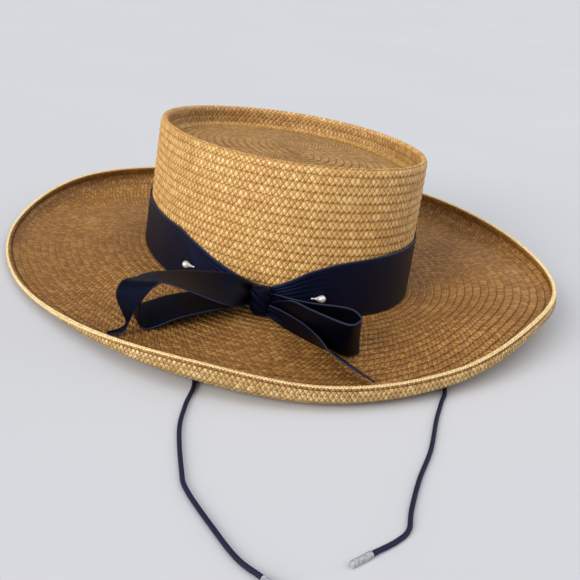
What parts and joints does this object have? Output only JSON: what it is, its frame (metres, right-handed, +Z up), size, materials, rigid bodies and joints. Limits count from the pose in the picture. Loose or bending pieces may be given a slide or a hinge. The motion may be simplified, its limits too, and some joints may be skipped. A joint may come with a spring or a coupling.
{
  "type": "wide-brimmed straw hat",
  "caption": "Wide-brimmed straw hat with a flat sunk tip, a curled brim edge, a ribbon band tied in a bow, two bead pins and a free chin cord.",
  "frame": {"origin": "centre of the hat's footprint on the surface that the brim rests on, below the middle of the head opening", "axes": "+Z up, +Y towards the wearer's front, +X towards the wearer's right; the bow is at the back left"},
  "size_m": [0.3634, 0.4978, 0.0991],
  "materials": {
    "straw": "golden plaited straw braid sewn in rows, soft satin sheen",
    "ribbon": "navy grosgrain ribbon with fine cross ribs and a soft sheen",
    "pearl": "pearly silver beads, polished",
    "cord": "round braided navy cord, matt",
    "aglet": "clear grey plastic sleeve over the cord end"
  },
  "bodies": {
    "root": {"crown": "straw", "brim": "straw", "ribbon_band": "ribbon", "bow_knot": "ribbon", "bow_loop_left": "ribbon", "bow_loop_right": "ribbon", "bow_tail_left": "ribbon", "bow_tail_right": "ribbon", "pin_left": "pearl", "pin_right": "pearl", "cord_tab_left": "cord", "cord_tab_right": "cord", "cord_left": "cord", "cord_right": "cord", "aglet_left": "aglet", "aglet_right": "aglet"}
  },
  "joints": []
}
